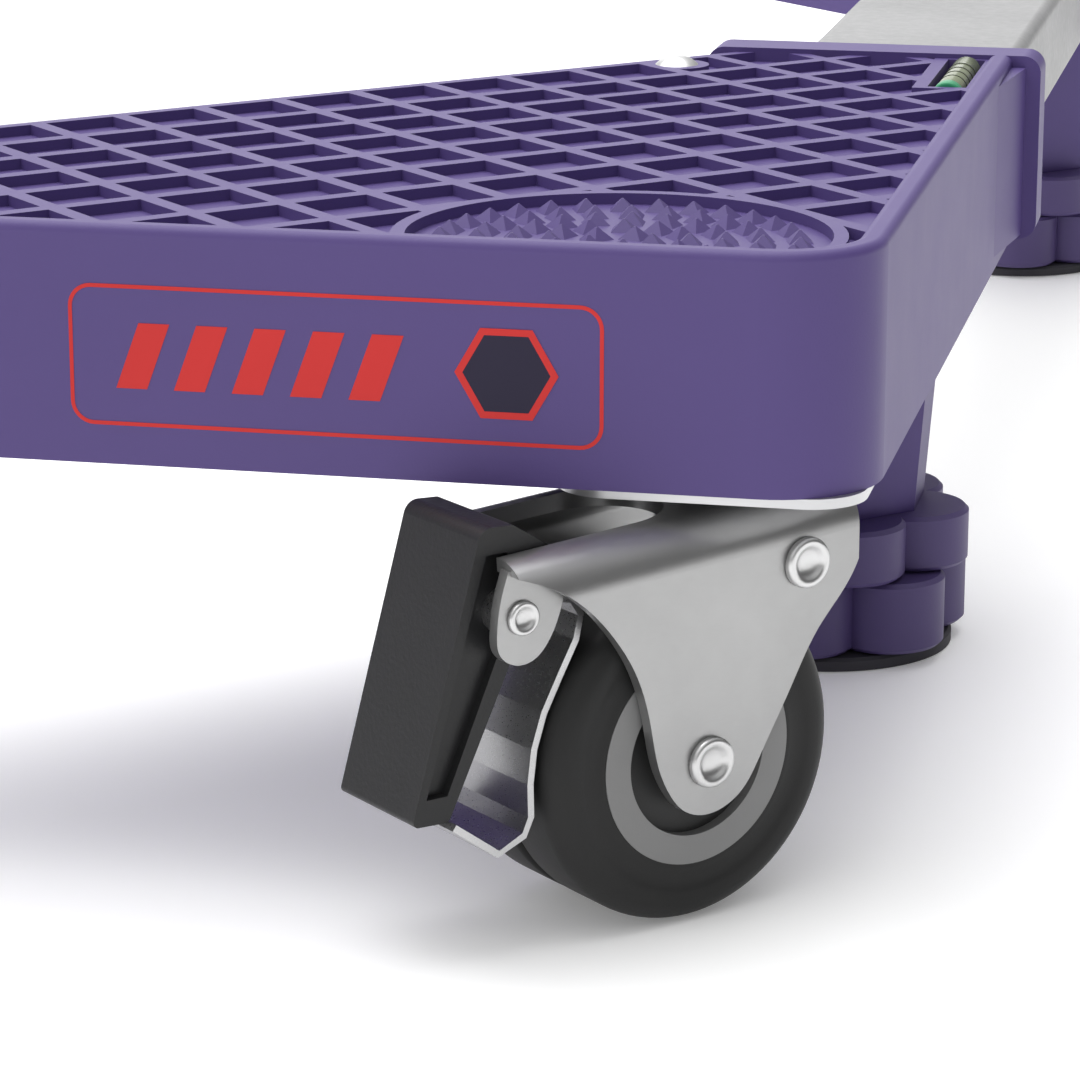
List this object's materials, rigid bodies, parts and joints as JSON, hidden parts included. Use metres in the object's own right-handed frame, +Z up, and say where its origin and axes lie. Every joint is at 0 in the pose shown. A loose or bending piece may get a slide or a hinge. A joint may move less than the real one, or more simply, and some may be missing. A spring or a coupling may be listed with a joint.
{
  "type": "adjustable appliance rolling base",
  "caption": "Extending rolling base for a heavy appliance: plastic corner trays with lattice decks on steel tubes, braked twin-wheel casters and screw feet.",
  "frame": {"origin": "on the floor at the middle of the base's bounding box", "axes": "+X across the width to the right, +Y along the depth to the rear, +Z up"},
  "size_m": [0.57, 0.6642, 0.0956],
  "materials": {
    "tray_plastic": "satin purple moulded plastic with light wear on the rib tops",
    "foot_plastic": "satin purple moulded plastic",
    "tube_steel": "pale grey painted steel",
    "fork_steel": "satin zinc-plated pressed steel",
    "zinc_plate": "zinc-plated sheet",
    "bright_steel": "bright plated rivet and screw heads",
    "tyre": "matte black rubber with moulded grain",
    "pad_rubber": "matte black rubber",
    "hub_plastic": "dark grey plastic",
    "ring_plastic": "mid grey plastic",
    "pedal_plastic": "black textured plastic",
    "level_vial": "yellow-green glass vial"
  },
  "bodies": {
    "corner_fr": {"tray_fr": "tray_plastic", "screws_fr": "bright_steel", "vial_fr": "level_vial", "plate_fr": "zinc_plate", "lock_nut_fr": "foot_plastic", "tube_right": "tube_steel", "tube_front": "tube_steel"},
    "fork_fr_body": {"fork_fr": "fork_steel", "rivets_fr": "bright_steel"},
    "wheel_fr": {"tyres_fr": "tyre", "hub_fr": "hub_plastic", "hub_rings_fr": "ring_plastic"},
    "brake_fr": {"pedal_fr": "pedal_plastic", "blade_fr": "zinc_plate"},
    "foot_pad_fr": {"pad_fr": "pad_rubber"},
    "foot_knob_fr": {"knob_fr": "foot_plastic"},
    "corner_fl": {"tray_fl": "tray_plastic", "screws_fl": "bright_steel", "vial_fl": "level_vial", "plate_fl": "zinc_plate", "lock_nut_fl": "foot_plastic", "tube_left": "tube_steel"},
    "fork_fl_body": {"fork_fl": "fork_steel", "rivets_fl": "bright_steel"},
    "wheel_fl": {"tyres_fl": "tyre", "hub_fl": "hub_plastic", "hub_rings_fl": "ring_plastic"},
    "brake_fl": {"pedal_fl": "pedal_plastic", "blade_fl": "zinc_plate"},
    "foot_pad_fl": {"pad_fl": "pad_rubber"},
    "foot_knob_fl": {"knob_fl": "foot_plastic"},
    "corner_rr": {"tray_rr": "tray_plastic", "screws_rr": "bright_steel", "vial_rr": "level_vial", "plate_rr": "zinc_plate", "lock_nut_rr": "foot_plastic", "tube_rear": "tube_steel"},
    "fork_rr_body": {"fork_rr": "fork_steel", "rivets_rr": "bright_steel"},
    "wheel_rr": {"tyres_rr": "tyre", "hub_rr": "hub_plastic", "hub_rings_rr": "ring_plastic"},
    "brake_rr": {"pedal_rr": "pedal_plastic", "blade_rr": "zinc_plate"},
    "foot_pad_rr": {"pad_rr": "pad_rubber"},
    "foot_knob_rr": {"knob_rr": "foot_plastic"},
    "corner_rl": {"tray_rl": "tray_plastic", "screws_rl": "bright_steel", "vial_rl": "level_vial", "plate_rl": "zinc_plate", "lock_nut_rl": "foot_plastic"},
    "fork_rl_body": {"fork_rl": "fork_steel", "rivets_rl": "bright_steel"},
    "wheel_rl": {"tyres_rl": "tyre", "hub_rl": "hub_plastic", "hub_rings_rl": "ring_plastic"},
    "brake_rl": {"pedal_rl": "pedal_plastic", "blade_rl": "zinc_plate"},
    "foot_pad_rl": {"pad_rl": "pad_rubber"},
    "foot_knob_rl": {"knob_rl": "foot_plastic"}
  },
  "joints": [
    {"name": "swivel_fr", "type": "hinge", "parent": "corner_fr", "child": "fork_fr_body", "pos_m": [0.2574, -0.2834, 0.056], "axis": [0, 0, 1], "continuous": true},
    {"name": "spin_fr", "type": "hinge", "parent": "fork_fr_body", "child": "wheel_fr", "pos_m": [0.24731, -0.29422, 0.024], "axis": [-0.7314, 0.682, 0], "continuous": true},
    {"name": "brake_pedal_fr", "type": "hinge", "parent": "fork_fr_body", "child": "brake_fr", "pos_m": [0.22794, -0.31499, 0.0483], "axis": [-0.7314, 0.682, 0], "range_deg": [-1, 14]},
    {"name": "foot_height_fr", "type": "slide", "parent": "corner_fr", "child": "foot_pad_fr", "axis": [0, 0, 1], "range_m": [-0.012, 0]},
    {"name": "foot_turn_fr", "type": "hinge", "parent": "foot_pad_fr", "child": "foot_knob_fr", "pos_m": [0.254, -0.164, 0.01], "axis": [0, 0, 1], "range_deg": [-1080, 0]},
    {"name": "swivel_fl", "type": "hinge", "parent": "corner_fl", "child": "fork_fl_body", "pos_m": [-0.2574, -0.2834, 0.056], "axis": [0, 0, 1], "continuous": true},
    {"name": "spin_fl", "type": "hinge", "parent": "fork_fl_body", "child": "wheel_fl", "pos_m": [-0.24731, -0.29422, 0.024], "axis": [-0.7314, -0.682, 0], "continuous": true},
    {"name": "brake_pedal_fl", "type": "hinge", "parent": "fork_fl_body", "child": "brake_fl", "pos_m": [-0.22794, -0.31499, 0.0483], "axis": [-0.7314, -0.682, 0], "range_deg": [-1, 14]},
    {"name": "foot_height_fl", "type": "slide", "parent": "corner_fl", "child": "foot_pad_fl", "axis": [0, 0, 1], "range_m": [-0.012, 0]},
    {"name": "foot_turn_fl", "type": "hinge", "parent": "foot_pad_fl", "child": "foot_knob_fl", "pos_m": [-0.254, -0.164, 0.01], "axis": [0, 0, 1], "range_deg": [-1080, 0]},
    {"name": "swivel_rr", "type": "hinge", "parent": "corner_rr", "child": "fork_rr_body", "pos_m": [0.2574, 0.2834, 0.056], "axis": [0, 0, 1], "continuous": true},
    {"name": "spin_rr", "type": "hinge", "parent": "fork_rr_body", "child": "wheel_rr", "pos_m": [0.24731, 0.29422, 0.024], "axis": [0.7314, 0.682, 0], "continuous": true},
    {"name": "brake_pedal_rr", "type": "hinge", "parent": "fork_rr_body", "child": "brake_rr", "pos_m": [0.22794, 0.31499, 0.0483], "axis": [0.7314, 0.682, 0], "range_deg": [-1, 14]},
    {"name": "foot_height_rr", "type": "slide", "parent": "corner_rr", "child": "foot_pad_rr", "axis": [0, 0, 1], "range_m": [-0.012, 0]},
    {"name": "foot_turn_rr", "type": "hinge", "parent": "foot_pad_rr", "child": "foot_knob_rr", "pos_m": [0.254, 0.164, 0.01], "axis": [0, 0, 1], "range_deg": [-1080, 0]},
    {"name": "swivel_rl", "type": "hinge", "parent": "corner_rl", "child": "fork_rl_body", "pos_m": [-0.2574, 0.2834, 0.056], "axis": [0, 0, 1], "continuous": true},
    {"name": "spin_rl", "type": "hinge", "parent": "fork_rl_body", "child": "wheel_rl", "pos_m": [-0.24731, 0.29422, 0.024], "axis": [0.7314, -0.682, 0], "continuous": true},
    {"name": "brake_pedal_rl", "type": "hinge", "parent": "fork_rl_body", "child": "brake_rl", "pos_m": [-0.22794, 0.31499, 0.0483], "axis": [0.7314, -0.682, 0], "range_deg": [-1, 14]},
    {"name": "foot_height_rl", "type": "slide", "parent": "corner_rl", "child": "foot_pad_rl", "axis": [0, 0, 1], "range_m": [-0.012, 0]},
    {"name": "foot_turn_rl", "type": "hinge", "parent": "foot_pad_rl", "child": "foot_knob_rl", "pos_m": [-0.254, 0.164, 0.01], "axis": [0, 0, 1], "range_deg": [-1080, 0]},
    {"name": "width_front", "type": "slide", "parent": "corner_fr", "child": "corner_fl", "axis": [-1, 0, 0], "range_m": [-0.075, 0.03]},
    {"name": "depth_right", "type": "slide", "parent": "corner_fr", "child": "corner_rr", "axis": [0, 1, 0], "range_m": [-0.075, 0.03]},
    {"name": "depth_left", "type": "slide", "parent": "corner_fl", "child": "corner_rl", "axis": [0, 1, 0], "range_m": [-0.075, 0.03]}
  ],
  "couplings": [
    {"joint": "foot_turn_fr", "follows": "foot_height_fr", "rad_per_m": 1570.8},
    {"joint": "foot_turn_fl", "follows": "foot_height_fl", "rad_per_m": 1570.8},
    {"joint": "foot_turn_rr", "follows": "foot_height_rr", "rad_per_m": 1570.8},
    {"joint": "foot_turn_rl", "follows": "foot_height_rl", "rad_per_m": 1570.8},
    {"joint": "depth_left", "follows": "depth_right", "ratio": 1}
  ]
}
